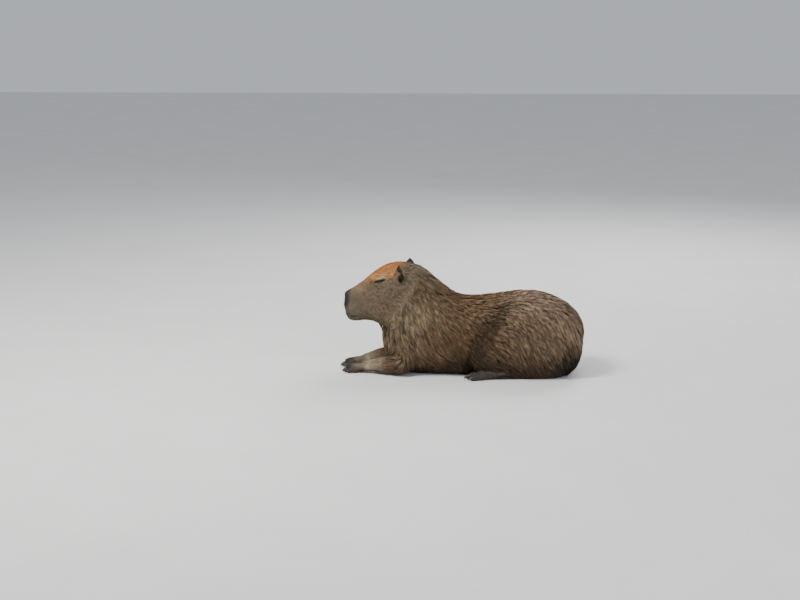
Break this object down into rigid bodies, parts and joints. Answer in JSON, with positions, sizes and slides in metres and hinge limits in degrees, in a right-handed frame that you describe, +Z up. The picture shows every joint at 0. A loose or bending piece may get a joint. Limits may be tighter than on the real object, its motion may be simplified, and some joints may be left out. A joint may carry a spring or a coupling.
{
  "type": "life-size capybara model",
  "caption": "Life-size museum model of an adult capybara lying on its belly with its head raised, eyes nearly shut and forelegs stretched forward.",
  "frame": {"origin": "on the floor under the trunk, in the middle of the flat that the belly rests on", "axes": "+Z up; the animal faces -X and its left side is -Y"},
  "size_m": [0.9954, 0.3896, 0.4462],
  "materials": {
    "coat": "long coarse brown hair in clumped locks",
    "face": "short brown hair, orange-brown over the forehead",
    "ear": "thin dark skin with sparse short hair",
    "foot": "grey-brown skin with very short hair",
    "claw": "dark horn, slightly glossy",
    "eye": "wet dark brown"
  },
  "bodies": {
    "root": {"torso": "coat", "neck": "coat", "head": "face", "ear_left": "ear", "eye_left": "eye", "foreleg_left": "coat", "forefoot_left": "foot", "hindleg_left": "coat", "hindfoot_left": "foot", "claw_fore_left_1": "claw", "claw_fore_left_2": "claw", "claw_fore_left_3": "claw", "claw_fore_left_4": "claw", "claw_hind_left_1": "claw", "claw_hind_left_2": "claw", "claw_hind_left_3": "claw", "ear_right": "ear", "eye_right": "eye", "foreleg_right": "coat", "forefoot_right": "foot", "hindleg_right": "coat", "hindfoot_right": "foot", "claw_fore_right_1": "claw", "claw_fore_right_2": "claw", "claw_fore_right_3": "claw", "claw_fore_right_4": "claw", "claw_hind_right_1": "claw", "claw_hind_right_2": "claw", "claw_hind_right_3": "claw"}
  },
  "joints": []
}
